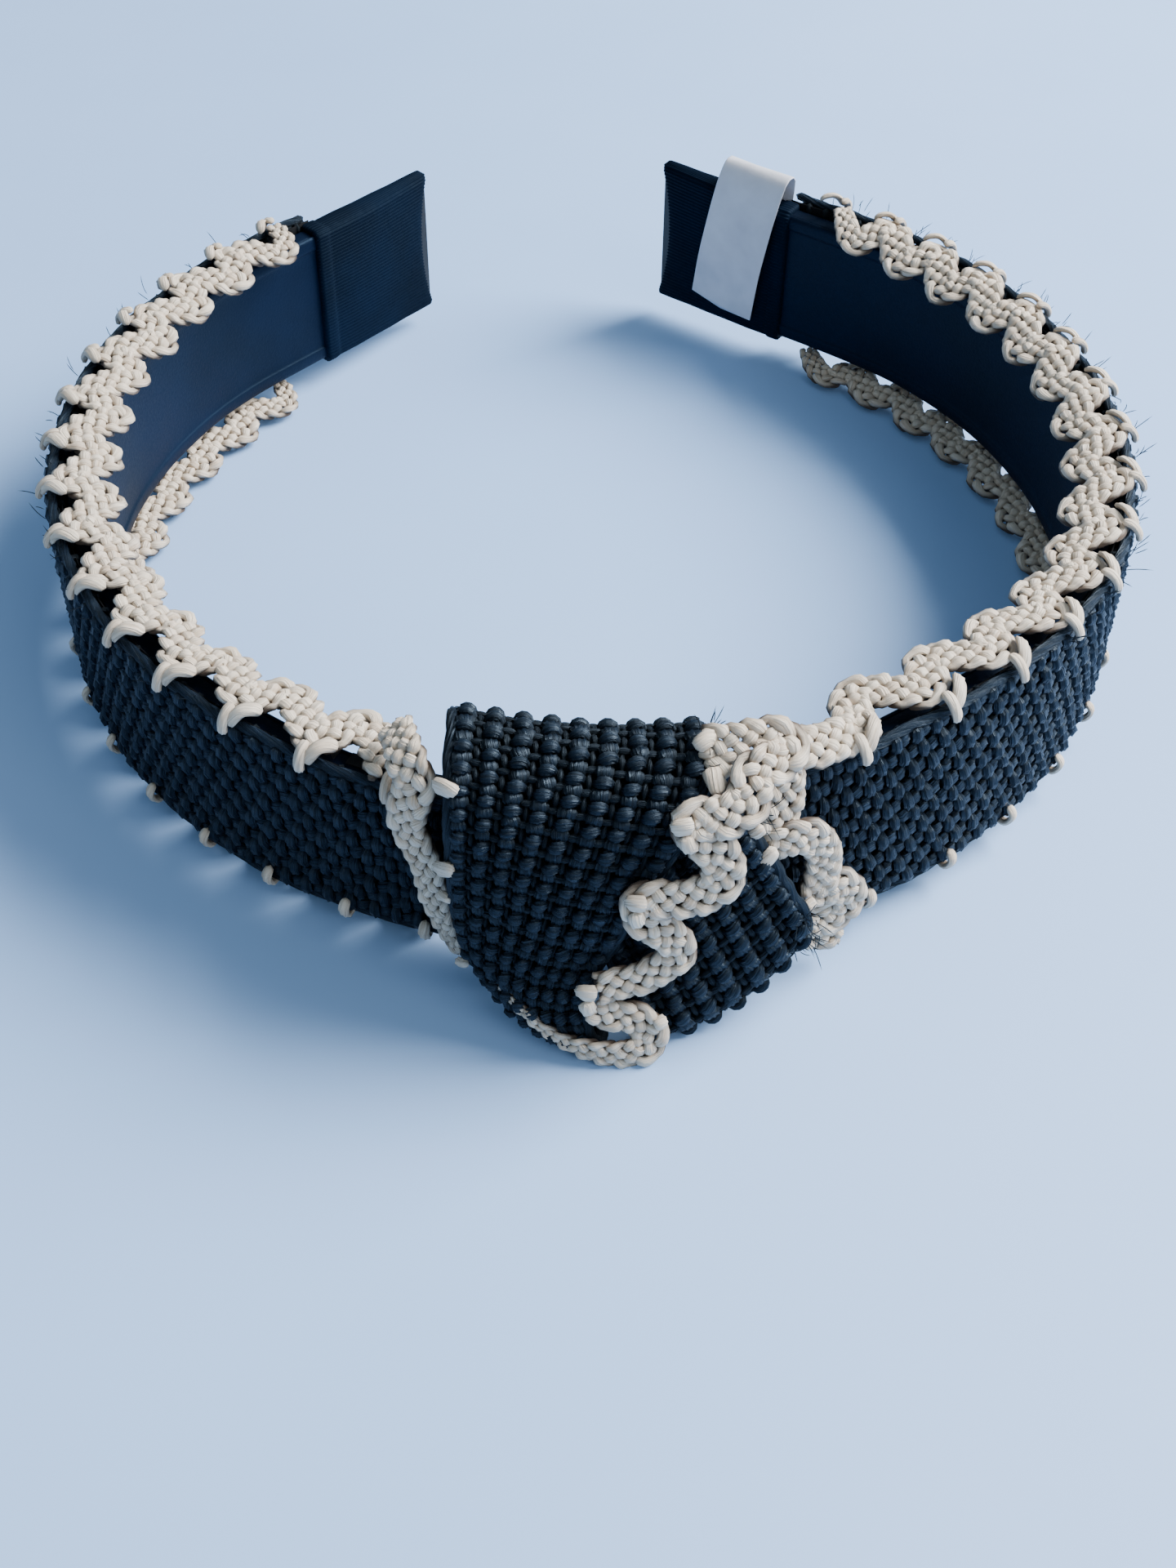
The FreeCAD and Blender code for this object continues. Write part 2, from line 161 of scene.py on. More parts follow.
def smooth_line(points, count):
    """A smooth line through given points, at even steps."""
    p = with_ends(points)
    last = len(p) - 3
    fine = []
    for k in range(1, last + 1):
        t = np.linspace(0, 1, 24, endpoint=k == last)[:, None]
        a, b, c, d = p[k - 1 : k + 3]
        bend = (2 * a - 5 * b + 4 * c - d) * t**2 + (3 * b - a - 3 * c + d) * t**3
        fine.append(0.5 * (2 * b + (c - a) * t + bend))
    return even_steps(np.vstack(fine), count=count)


def blend_curve(points, step):
    """A cubic spline that rounds off its given corners, at even steps."""
    p = with_ends(points)
    t = np.linspace(0, 1, 16, endpoint=False)[:, None]
    shares = (1 - t) ** 3, 3 * t**3 - 6 * t**2 + 4, -3 * t**3 + 3 * t**2 + 3 * t + 1, t**3
    rows = [sum(s * q for s, q in zip(shares, p[k - 1 : k + 3])) / 6 for k in range(1, len(p) - 2)]
    return even_steps(np.vstack(rows), step=step)


# ------------------------------ meshes
def finish_mesh(name, work, material):
    mesh = bpy.data.meshes.new(name)
    work.to_mesh(mesh)
    work.free()
    piece = bpy.data.objects.new(name, mesh)
    bpy.context.scene.collection.objects.link(piece)
    mesh.materials.append(material)
    mesh.shade_smooth()
    return piece


def tube(name, long_steps, round_steps, places, material):
    """A grid laid at the places, its long edges meeting and its two ends closed."""
    work = bmesh.new()
    work.loops.layers.uv.new("strand")
    bmesh.ops.create_grid(work, x_segments=long_steps, y_segments=round_steps, size=1)
    for vertex, place in zip(work.verts, places):
        vertex.co = place
    bmesh.ops.remove_doubles(work, verts=work.verts, dist=SAME_PLACE)
    bmesh.ops.holes_fill(work, edges=[e for e in work.edges if e.is_boundary])
    bmesh.ops.recalc_face_normals(work, faces=work.faces)
    return finish_mesh(name, work, material)


class Strand:
    """One strand: its middle line, the way it faces, and its half width and half thickness, in mm.

    A square below 1 makes its round section boxy. rise is its height in the weave.
    """

    def __init__(self, line, normal, wide, thick, twist=0.0, start=0.0, square=1.0, rise=0.0):
        self.line = np.asarray(line, float)
        count = len(self.line)
        self.normal = np.broadcast_to(normal, (count, 3))
        self.wide, self.thick, self.rise = (
            np.broadcast_to(v, (count,)).astype(float) for v in (wide, thick, rise)
        )
        self.twist, self.start, self.square = twist, start, square


def roll_strands(name, strands, sides, material, ridge=0.12):
    """Grids rolled up into closed strands, with creases along them and pointed ends."""
    work = bmesh.new()
    work.loops.layers.uv.new("strand")
    for strand in strands:
        bmesh.ops.create_grid(work, x_segments=len(strand.line) - 1, y_segments=sides, size=1)
    mesh = bpy.data.meshes.new(name)
    work.to_mesh(mesh)
    work.free()
    places, lengthwise, around, heights = [], [], [], []
    turn = np.arange(sides + 1) / sides
    crease = np.where(np.arange(sides + 1) % 2 == 0, 1.0, 1.0 - 2 * ridge)[:, None]
    for number, strand in enumerate(strands):
        ahead = unit(np.gradient(strand.line, axis=0))
        lift = unit(strand.normal - (strand.normal * ahead).sum(1)[:, None] * ahead)
        across = np.cross(lift, ahead)
        reach = reach_along(strand.line)
        strand.wide[[0, -1]] = strand.thick[[0, -1]] = 0.0
        phase = 2 * np.pi * turn[:, None] + (strand.start + strand.twist * reach)[None, :]
        aside, rise = (
            (np.sign(wave) * np.abs(wave) ** strand.square * crease * half)[..., None]
            for wave, half in ((np.cos(phase), strand.wide), (np.sin(phase), strand.thick))
        )
        places.append((strand.line + aside * across + rise * lift).reshape(-1, 3))
        heights.append((rise[..., 0] + strand.rise).ravel())
        lengthwise.append(np.tile(reach / 10, sides + 1))
        around.append(np.repeat(turn, len(reach)) + number)
    places = np.concatenate(places) * MM
    places[:, 2] = np.maximum(places[:, 2], TABLE)
    mesh.vertices.foreach_set("co", places.astype(np.float32).ravel())
    corner = np.zeros(len(mesh.loops), np.int32)
    mesh.loops.foreach_get("vertex_index", corner)
    flat = np.stack([np.concatenate(lengthwise)[corner], np.concatenate(around)[corner]], -1)
    mesh.uv_layers["strand"].data.foreach_set("uv", flat.astype(np.float32).ravel())
    # each place's height in the weave; the strand material paints shade into the gaps from it
    level = mesh.attributes.new("level", "FLOAT", "POINT")
    level.data.foreach_set("value", np.concatenate(heights).astype(np.float32))
    work = bmesh.new()
    work.from_mesh(mesh)
    bpy.data.meshes.remove(mesh)
    bmesh.ops.remove_doubles(work, verts=work.verts, dist=SAME_PLACE)
    bmesh.ops.recalc_face_normals(work, faces=work.faces)
    return finish_mesh(name, work, material)


# ------------------------------ plain weave
OVERRUN = 0.5  # how far a strand runs past the last one it crosses, in crossings
LEAN = 0.22  # how far a strand sways aside between crossings, in half widths


def carried_on(t, values):
    """Values at whole numbers, read at t, and carried on in line past both ends."""
    index = np.arange(len(values))
    begin, end = np.polyfit(index[:2], values[:2], 1), np.polyfit(index[-2:], values[-2:], 1)
    inner = np.interp(t, index, values)
    return np.where(t > index[-1], np.polyval(end, t), np.where(t < 0, np.polyval(begin, t), inner))


def woven(surface, places, halves, lift, thick, seed, flip=1.0, samples=(3, 4)):
    """Strands of a plain weave: warps run the long way, wefts run across them.

    Every list is a (warp, weft) pair. places and halves, the half widths, are in the surface's
    own units. lift and thick are in mm, one value for all or one for each strand.
    """
    rng = np.random.default_rng(seed)
    made = ([], [])
    for way, per in enumerate(samples):
        own, crossed, half_widths = places[way], places[1 - way], halves[way]
        rises, depths = (np.broadcast_to(pair[way], len(own)) for pair in (lift, thick))
        t = np.arange(int((len(crossed) - 1 + 2 * OVERRUN) * per) + 1) / per - OVERRUN
        onward = carried_on(t, crossed)
        for k in range(len(own)):
            wave = np.cos(np.pi * (t + k)) * (1 - 2 * way)
            sway = wander(rng, len(t), 0.10, per) + LEAN * np.sin(np.pi * (t + k))
            aside = own[k] + sway * half_widths[k]
            a, b = (aside, onward) if way == 0 else (onward, aside)
            *steps, normal = facing(surface, a, b, flip)
            half = half_widths[k] * np.linalg.norm(steps[way], axis=1)
            high_up = np.sign(wave) * np.abs(wave) ** 0.62
            rise = high_up * rises[k] * (1 + wander(rng, len(t), 0.10, per * 2))
            line = surface(a, b) + normal * rise[:, None]
            over = np.maximum(wave, 0) ** 0.7
            wide = half * (0.70 + 0.38 * over) * (1 + wander(rng, len(t), 0.05, per))
            deep = depths[k] * (0.82 + 0.22 * over)
            twist, start = rng.normal(0.12, 0.18), rng.uniform(0, FULL_TURN)
            made[way].append(Strand(line, normal, wide, deep, twist, start, rise=rise))
    return made


# ------------------------------ flat plait of five strands
PLAIT = 5
PLAIT_ACROSS = np.array([-2, -1.5, -0.5, 0.5, 1.5, 2, 1.5, 0.5, -0.5, -1.5, -2])
PLAIT_UP = np.array([0, 1, -1, 1, -1, 0, 1, -1, 1, -1, 0.0])
BEAT, COLUMN, PER_BEAT = 1.06, 1.06, 4  # mm along for a crossing, mm aside for a column, samples
PLAIT_LIFT, PLAIT_WIDE, PLAIT_THICK = 0.50, 0.78, 0.52


def plait(line, normal, seed, narrow=None):
    """Five strands worked into a flat plait along a line that already has even steps."""
    rng = np.random.default_rng(seed)
    reach = reach_along(line)
    t = np.arange(int(reach[-1] / BEAT * PER_BEAT)) / PER_BEAT
    at = t * BEAT
    middle = read_between(at, reach, line)
    face = unit(read_between(at, reach, normal))
    across = np.cross(face, unit(np.gradient(middle, axis=0)))
    share = np.ones(len(t)) if narrow is None else np.interp(at / reach[-1], *narrow)
    made = []
    for k in range(PLAIT):
        phase = (t + 2 * k) % 10
        lower = np.floor(phase).astype(int)
        ease = (1 - np.cos(np.pi * (phase - lower))) / 2
        height = PLAIT_UP[lower] * (1 - ease) + PLAIT_UP[lower + 1] * ease
        aside = np.interp(phase, np.arange(11), PLAIT_ACROSS) * COLUMN * share
        aside = aside + wander(rng, len(t), 0.05, PER_BEAT)
        swell = 1 + wander(rng, len(t), 0.07, PER_BEAT * 2)
        rise = height * PLAIT_LIFT
        centre = middle + across * aside[:, None] + face * (rise * swell * share**0.5)[:, None]
        over = np.maximum(height, 0)
        uneven = 1 + wander(rng, len(t), 0.05, PER_BEAT)
        half = PLAIT_WIDE * (0.74 + 0.32 * over) * share**0.6 * uneven
        deep = PLAIT_THICK * (0.85 + 0.18 * over) * share**0.6
        twist, start = rng.normal(0.25, 0.1), rng.uniform(0, FULL_TURN)
        made.append(Strand(centre, face, half, deep, twist, start, rise=rise))
    return made


# ------------------------------ shading
def node_group(name, inputs, outputs):
    """A group of number sockets, with the two nodes at its ends."""
    tree = bpy.data.node_groups.new(name, "ShaderNodeTree")
    for label, value in inputs:
        socket = tree.interface.new_socket(label, in_out="INPUT", socket_type="NodeSocketFloat")
        socket.default_value = value
    for label in outputs:
        tree.interface.new_socket(label, in_out="OUTPUT", socket_type="NodeSocketFloat")
    return tree, tree.nodes.new("NodeGroupInput"), tree.nodes.new("NodeGroupOutput")


def feed(tree, socket, value):
    """Sets a socket to a number or a colour, or links it to another node's output."""
    if isinstance(value, bpy.types.NodeSocket):
        tree.links.new(value, socket)
    else:
        socket.default_value = (*value, 1) if isinstance(value, tuple) else value


def math_node(tree, operation, *values):
    node = tree.nodes.new("ShaderNodeMath")
    node.operation = operation
    for socket, value in zip(node.inputs, values):
        feed(tree, socket, value)
    return node.outputs[0]


def noise_node(tree, scale, detail=3.0, rough=0.55, vector=None):
    """Noise over a vector, or over the piece's own place."""
    if vector is None:
        vector = tree.nodes.new("ShaderNodeTexCoord").outputs["Object"]
    node = tree.nodes.new("ShaderNodeTexNoise")
    for label, value in (("Vector", vector), ("Scale", scale), ("Detail", detail), ("Roughness", rough)):
        feed(tree, node.inputs[label], value)
    return node.outputs[0]


def spread_to(tree, value, low_end, high_end, low_in=0.0, high_in=1.0, smooth=False):
    node = tree.nodes.new("ShaderNodeMapRange")
    if smooth:
        node.interpolation_type = "SMOOTHSTEP"
    labels = "Value", "From Min", "From Max", "To Min", "To Max"
    for label, number in zip(labels, (value, low_in, high_in, low_end, high_end)):
        feed(tree, node.inputs[label], number)
    return node.outputs[0]


def mixed(tree, factor, first, second):
    node = tree.nodes.new("ShaderNodeMix")
    node.data_type = "RGBA"
    for place, value in ((0, factor), (6, first), (7, second)):
        feed(tree, node.inputs[place], value)
    return node.outputs[2]


def make_strand_group():
    """Fine fibres that run along a strand, a shade for each strand, slow fading over the piece, and a mask for
    the shade painted into the gaps between strands, from each place's height in the weave.
    """
    tree, inside, outside = node_group(
        "strand_fibres",
        [("Fibres", 22.0), ("Stretch", 1.6), ("Fading Scale", 60.0), ("Gap Level", -0.2), ("Top Level", 0.6)],
        ["Fibre", "Shade", "Fading", "Unshaded Share"],
    )
    uv = tree.nodes.new("ShaderNodeUVMap")
    uv.uv_map = "strand"
    parts = tree.nodes.new("ShaderNodeSeparateXYZ")
    tree.links.new(uv.outputs[0], parts.inputs[0])
    along, around = parts.outputs[0], parts.outputs[1]
    number = math_node(tree, "FLOOR", math_node(tree, "ADD", around, 0.0005))
    turn = math_node(tree, "SUBTRACT", around, number)
    place = tree.nodes.new("ShaderNodeCombineXYZ")
    scaled = ((along, inside.outputs["Stretch"]), (turn, inside.outputs["Fibres"]), (number, 3.7))
    for socket, values in zip(place.inputs, scaled):
        tree.links.new(math_node(tree, "MULTIPLY", *values), socket)
    shade = tree.nodes.new("ShaderNodeTexWhiteNoise")
    shade.noise_dimensions = "1D"
    tree.links.new(number, shade.inputs["W"])
    level = tree.nodes.new("ShaderNodeAttribute")
    level.attribute_name = "level"
    gap_level, top_level = inside.outputs["Gap Level"], inside.outputs["Top Level"]
    for label, value in (
        ("Fibre", noise_node(tree, 1.0, 4.0, 0.65, place.outputs[0])),
        ("Shade", shade.outputs["Value"]),
        ("Fading", noise_node(tree, inside.outputs["Fading Scale"], 3.0, 0.5)),
        # mask for painted shade: 0 where a place sits low in the gaps and gets the painted shade, 1 on top of
        # the weave
        ("Unshaded Share", spread_to(tree, level.outputs["Fac"], 0.0, 1.0, gap_level, top_level, smooth=True)),
    ):
        tree.links.new(value, outside.inputs[label])
    return tree


def new_material(name, constants):
    material = bpy.data.materials.new(name)
    material.use_nodes = True
    shader = material.node_tree.nodes["Principled BSDF"]
    for label, value in constants.items():
        shader.inputs[label].default_value = value
    return material, material.node_tree, shader


def bump_into(tree, shader, height, distance):
    bump = tree.nodes.new("ShaderNodeBump")
    bump.inputs["Distance"].default_value = distance
    tree.links.new(height, bump.inputs["Height"])
    tree.links.new(bump.outputs[0], shader.inputs["Normal"])


STRAND_FIBRES = make_strand_group()


def strand_material(name, shades, painted_gap_shade, rough, fibres, stretch, bump, levels, constants):
    """Twisted fibres in three shades, with shade painted down in the gaps between strands; the light fibre
    streaks are fibre tone, and on the black raffia painted highlights too.
    """
    dark, mid, light = shades
    material, tree, shader = new_material(name, constants)
    group = tree.nodes.new("ShaderNodeGroup")
    group.node_tree = STRAND_FIBRES
    group.inputs["Fibres"].default_value = fibres
    group.inputs["Stretch"].default_value = stretch
    group.inputs["Gap Level"].default_value, group.inputs["Top Level"].default_value = levels
    fibre = spread_to(tree, group.outputs["Fibre"], 0.0, 1.0, 0.34, 0.66)
    shade = mixed(tree, group.outputs["Shade"], dark, mid)
    faded = mixed(tree, spread_to(tree, group.outputs["Fading"], 0.0, 0.5, 0.35, 0.7), shade, mid)
    # light fibre streaks: fibre tone, and on the black raffia painted highlights along the fibres
    streaks_and_highlights = mixed(tree, math_node(tree, "MULTIPLY", fibre, 0.6), faded, light)
    # painted shade: the gap colour where a place sits low between strands
    tree.links.new(mixed(tree, group.outputs["Unshaded Share"], painted_gap_shade, streaks_and_highlights), shader.inputs["Base Color"])
    open_rough = spread_to(tree, fibre, *rough)
    deep = spread_to(tree, group.outputs["Unshaded Share"], 0.25, 0.0)
    tree.links.new(math_node(tree, "ADD", open_rough, deep), shader.inputs["Roughness"])
    bump_into(tree, shader, group.outputs["Fibre"], bump)
    return material


# the black raffia's light third shade is fibre tone and painted highlights along the fibres, and its gap colour
# is painted shade
RAFFIA = strand_material(
    "black_raffia",
    shades=((0.0004, 0.0010, 0.0030), (0.0010, 0.0026, 0.0070), (0.0160, 0.0300, 0.0540)),
    painted_gap_shade=(0.0001, 0.0002, 0.0006), rough=(0.58, 0.24),
    fibres=13.0, stretch=0.9, bump=0.0008, levels=(-0.1, 1.0),
    constants={"Specular IOR Level": 0.42, "Specular Tint": (0.62, 0.82, 1.0, 1)},
)
# the cream cord's gap colour is painted shade between strands
CREAM = strand_material(
    "cream_cord",
    shades=((0.62, 0.47, 0.33), (0.78, 0.65, 0.50), (0.92, 0.83, 0.70)),
    painted_gap_shade=(0.11, 0.070, 0.045), rough=(0.60, 0.40),
    fibres=11.0, stretch=0.9, bump=0.0006, levels=(-0.2, 0.6),
    constants={"Specular IOR Level": 0.45, "Sheen Weight": 0.05},
)


def cloth_material(name, dark, light, rough, scales, bump, constants={}):
    """Smooth cloth or a plain surface: slow shading and a fine grain, both read in the piece's own place."""
    material, tree, shader = new_material(name, constants)
    slow = noise_node(tree, scales[0])
    fine = noise_node(tree, scales[1], 2.0, 0.7)
    colour = mixed(tree, spread_to(tree, slow, 0.0, 1.0, 0.35, 0.65), dark, light)
    tree.links.new(colour, shader.inputs["Base Color"])
    slow_part, fine_part = math_node(tree, "MULTIPLY", slow, 0.4), math_node(tree, "MULTIPLY", fine, 0.6)
    both = math_node(tree, "ADD", slow_part, fine_part)
    tree.links.new(spread_to(tree, both, *rough, 0.3, 0.7), shader.inputs["Roughness"])
    bump_into(tree, shader, fine, bump)
    return material


SATIN = cloth_material(
    "black_satin", (0.0002, 0.0012, 0.0060), (0.0010, 0.0040, 0.0160), (0.45, 0.60), (45, 2600), 0.00004,
    {"Specular IOR Level": 0.2, "Specular Tint": (0.35, 0.66, 1.0, 1)},
)
RIBBON = cloth_material(
    "ribbed_ribbon", (0.0003, 0.0020, 0.0070), (0.0012, 0.0052, 0.0160), (0.6, 0.8), (60, 1400), 0.00003,
    {"Specular IOR Level": 0.12, "Specular Tint": (0.35, 0.66, 1.0, 1)},
)
GROUND = cloth_material(
    "strip_ground", (0.0004, 0.0006, 0.0012), (0.0010, 0.0015, 0.0030), (0.8, 0.95), (80, 2400), 0.00006,
    {"Specular IOR Level": 0.2},
)
PLASTIC = cloth_material(
    "core_plastic", (0.008, 0.008, 0.009), (0.016, 0.016, 0.018), (0.36, 0.5), (70, 1500), 0.00003,
)
PAPER = cloth_material(
    "sticker_paper", (0.56, 0.56, 0.61), (0.68, 0.68, 0.73), (0.62, 0.8), (140, 900), 0.00003,
)
FLOOR = cloth_material("pale_floor", (0.33, 0.53, 0.88), (0.37, 0.58, 0.93), (0.5, 0.65), (3, 40), 0.00001)


# ------------------------------ camera, lights and floor
def place_camera(from_centre, yaw, pitch, roll, lens):
    """A camera at a place in mm from the hoop's centre, turned by its angles in radians."""
    turned = Matrix.Rotation(yaw, 3, "Z")
    ahead = turned @ Vector((0, math.cos(pitch), -math.sin(pitch)))
    level = turned @ Vector((1, 0, 0))
    upward = turned @ Vector((0, math.sin(pitch), math.cos(pitch)))
    right_side = math.cos(roll) * level + math.sin(roll) * upward
    top_side = math.cos(roll) * upward - math.sin(roll) * level
    data = bpy.data.cameras.new("camera")
    data.sensor_fit = "HORIZONTAL"
    data.sensor_width = 36
    data.lens = lens
    data.clip_start = 0.01
    camera = bpy.data.objects.new("camera", data)
    pose = Matrix((right_side, top_side, -ahead)).transposed().to_4x4()
    pose.translation = (Vector(from_centre) + Vector((0, CENTRE_Y, 0))) * MM
    camera.matrix_world = pose
    bpy.context.scene.collection.objects.link(camera)
    bpy.context.scene.camera = camera


def soft_light(name, place, target, size, power, colour):
    data = bpy.data.lights.new(name, "AREA")
    data.shape = "RECTANGLE"
    data.size = data.size_y = size
    data.energy = power
    data.color = colour
    lamp = bpy.data.objects.new(name, data)
    lamp.location = place
    lamp.rotation_euler = (Vector(target) - Vector(place)).to_track_quat("-Z", "Y").to_euler()
    bpy.context.scene.collection.objects.link(lamp)


def room_light(colour, strength):
    room = bpy.data.worlds.new("room")
    room.use_nodes = True
    background = room.node_tree.nodes["Background"]
    background.inputs["Color"].default_value = (*colour, 1)
    background.inputs["Strength"].default_value = strength
    bpy.context.scene.world = room


place_camera((-23.2, -206.8, 168.2), yaw=-0.112, pitch=0.785, roll=0.013, lens=57.5)
soft_light(
    "window", place=(0.70, 0.12, 0.64), target=(0.01, 0.0, 0.01),
    size=0.60, power=32.0, colour=(0.97, 0.98, 1.0),
)
soft_light(
    "front_fill", place=(0.45, -0.70, 0.55), target=(0, -0.03, 0.01),
    size=0.5, power=2.2, colour=(0.93, 0.97, 1.0),
)
room_light((0.60, 0.80, 1.0), 0.46)

floor_work = bmesh.new()
bmesh.ops.create_grid(floor_work, x_segments=2, y_segments=2, size=3.0)
floor = finish_mesh("floor", floor_work, FLOOR)


# ------------------------------ woven strip
WARPS = 10
WEFT_PITCH = 1.46
EDGE_CORD_STEP = 0.7


def strip_surface(across, along):
    return on_hoop(along, STRIP_MID, STRIP_LOW + across)


def band_span(side):
    """Where one half of the strip starts, under the knot, and ends, at its cap."""
    return (0.6, CAP_START + 1.5) if side > 0 else (-CAP_START - 1.5, -0.6)


def flex(piece, side):
    """Bakes the piece's transform into its mesh; the places either side of the joint are worked out but not
    used.
    """
    start, end = (on_hoop(side * along, STRIP_MID, BAND_MIDDLE) * MM for along in (JOINT - FLEX, JOINT + FLEX))
    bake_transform(piece)


def ribbon_along(name, profile, start, end, step, material, drift=0.0, seed=0):
    """A closed section drawn along the hoop: profile is a closed list of (out, up), rounded off."""
    section = np.array(profile, float)
    for _ in range(2):
        following = np.roll(section, -1, axis=0)
        pair = [section * 0.8 + following * 0.2, section * 0.2 + following * 0.8]
        section = np.stack(pair, 1).reshape(-1, 2)
    along = np.linspace(start, end, int(abs(end - start) / step) + 1)
    ring = np.vstack([section, section[:1]])
    out, up = np.repeat(ring, len(along), axis=0).T
    if drift:
        rng = np.random.default_rng(seed)
        ripple = np.stack([wander(rng, len(along), drift, 6) for _ in range(4)])
        row = np.interp(up, [up.min(), up.max()], [0, 3])
        lower = np.minimum(row.astype(int), 2)
        share = row - lower
        column = np.tile(np.arange(len(along)), len(ring))
        out = out + ripple[lower, column] * (1 - share) + ripple[lower + 1, column] * share
    places = on_hoop(np.tile(along, len(ring)), out, up) * MM
    return tube(name, len(along) - 1, len(section), places, material)


def make_strip(side):
    name = side_name(side)
    start, end = band_span(side)
    length = end - start
    warps = STRIP_WIDE / WARPS * (np.arange(WARPS) + 0.5)
    wefts = start + WEFT_PITCH * (0.5 + np.arange(int(length / WEFT_PITCH)))
    rng = np.random.default_rng(11 + side)
    warps = warps + rng.normal(0, 0.05, len(warps))
    wefts = wefts + rng.normal(0, 0.07, len(wefts))
    warp_half = 0.98 * (1 + rng.normal(0, 0.05, len(warps)))
    weft_half = 0.72 * (1 + rng.normal(0, 0.07, len(wefts)))
    lengthwise, crosswise = woven(
        strip_surface, (warps, wefts), (warp_half, weft_half),
        lift=(0.40, 0.82), thick=(0.52, 0.66), seed=3 + side, flip=-1.0,
    )
    # a cord along each edge
    for up in (STRIP_LOW + 0.1, STRIP_HIGH - 0.1):
        along = np.linspace(start, end, int(length / EDGE_CORD_STEP))
        out = STRIP_FACE - 0.95 + wander(rng, len(along), 0.08, 6)
        line = on_hoop(along, out, up + wander(rng, len(along), 0.10, 5))
        lengthwise.append(Strand(line, (0, 0, 1), 0.66, 0.60, 0.35, 1.0, rise=0.5))
    ground_low, ground_high = STRIP_LOW + 0.5, STRIP_HIGH - 0.4
    ground = ribbon_along(
        f"strip_ground_{name}",
        [(68.3, ground_low), (68.75, ground_low), (68.75, ground_high), (68.3, ground_high)],
        start, end, 1.5, GROUND,
    )
    long_strands = roll_strands(f"strip_warps_{name}", lengthwise, 12, RAFFIA)
    cross_strands = roll_strands(f"strip_wefts_{name}", crosswise, 12, RAFFIA)
    for piece in (long_strands, cross_strands, ground):
        flex(piece, side)
    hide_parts(f"braid_{name}", f"braid_{name}_root")


# ------------------------------ zigzag trims
# how far the top trim's free side hangs below its caught side, by the distance along the hoop
DROOP_PLACES = [-195, -120, -60, -25, 25, 60, 110, 160, 195]
DROOPS = [2.6, 3.0, 2.4, 0.4, 0.2, 1.8, 4.2, 4.6, 3.0]
# where the plait turns between two catches, as a share of the way
SHOULDER_AT, CREST_AT = 0.15, 0.44
# strands of a catch: (along from it, out from the hoop's centre, up from the trim's level)
TOP_HOOK = [(-0.30, 68.7, 0.3), (-0.20, 69.8, 0.2), (-0.10, 70.7, -0.5), (0.00, 71.2, -1.5), (0.05, 71.1, -2.3)]
TOP_RETURN = [(0.4, 70.6, -1.2), (0.9, 70.2, -0.1), (1.6, 69.4, 0.7), (2.5, 68.4, 0.7), (3.1, 67.6, 0.1)]
LOW_HOOK = [(0.00, 69.2, 3.3), (0.00, 70.5, 3.3), (0.05, 71.2, 4.3), (0.10, 71.15, 5.2), (0.10, 70.3, 6.0)]


def top_trim_surface(along, inward):
    share = np.clip((inward - 2.5) / 7.5, 0, 1.4)
    droop = np.interp(along, DROOP_PLACES, DROOPS) * share**1.3
    return on_hoop(along, TRIM_OUT - inward, TRIM_TOP - 0.45 - droop)


def low_trim_surface(along, inward):
    share = np.clip(inward / 10, 0, 1.2)
    return on_hoop(along, STRIP_FACE - 0.8 - inward, 2.9 - 1.75 * share)


def catches_on(side):
    """Where the zigzag is caught to the strip, from left to right."""
    if side < 0:
        places = -29.2 - ZIGZAG * np.arange(17)
        return places[places > -CAP_START - 1][::-1]
    k = np.arange(16)
    places = 23.2 + 11.75 * k - 0.075 * k**2
    return places[places < CAP_START - 2]


def zigzag_points(catches, outer, shoulder, crest, rng):
    """Corners of the plait's path in (along, inward): a steep rise from each catch and a long fall."""
    points = []
    for here, there in zip(catches[:-1], catches[1:]):
        pitch = there - here
        wobble = rng.normal(0, 0.18, 3)
        points += [
            (here + wobble[0], outer + wobble[1]),
            (here + SHOULDER_AT * pitch, shoulder + wobble[2]),
            (here + CREST_AT * pitch, crest + wobble[0]),
        ]
    points.append((catches[-1], outer))
    return points


def fat_strand(points, normal, wide, thick):
    """A short thick strand with rounded ends."""
    line = smooth_line(points, max(7, int(reach_along(points)[-1] / 0.3)))
    share = (1 - np.abs(np.linspace(-1, 1, len(line))) ** 6) ** 0.5
    return Strand(line, normal, wide * share, thick * share, 0.25, 0.4, rise=0.5)


def hooks(catches, rng, drift, level, face_from, face_to, shapes):
    """At each catch, fat strands that hook over the strip's edge; shapes are (path, wide, thick)."""
    made = []
    for place in catches:
        face = unit(on_hoop(place, *face_to) - on_hoop(place, *face_from))
        shift = rng.normal(0, drift)
        for path, wide, thick in shapes:
            along, out, up = np.transpose(path)
            made.append(fat_strand(on_hoop(place + along + shift, out, level + up), face, wide, thick))
    return made


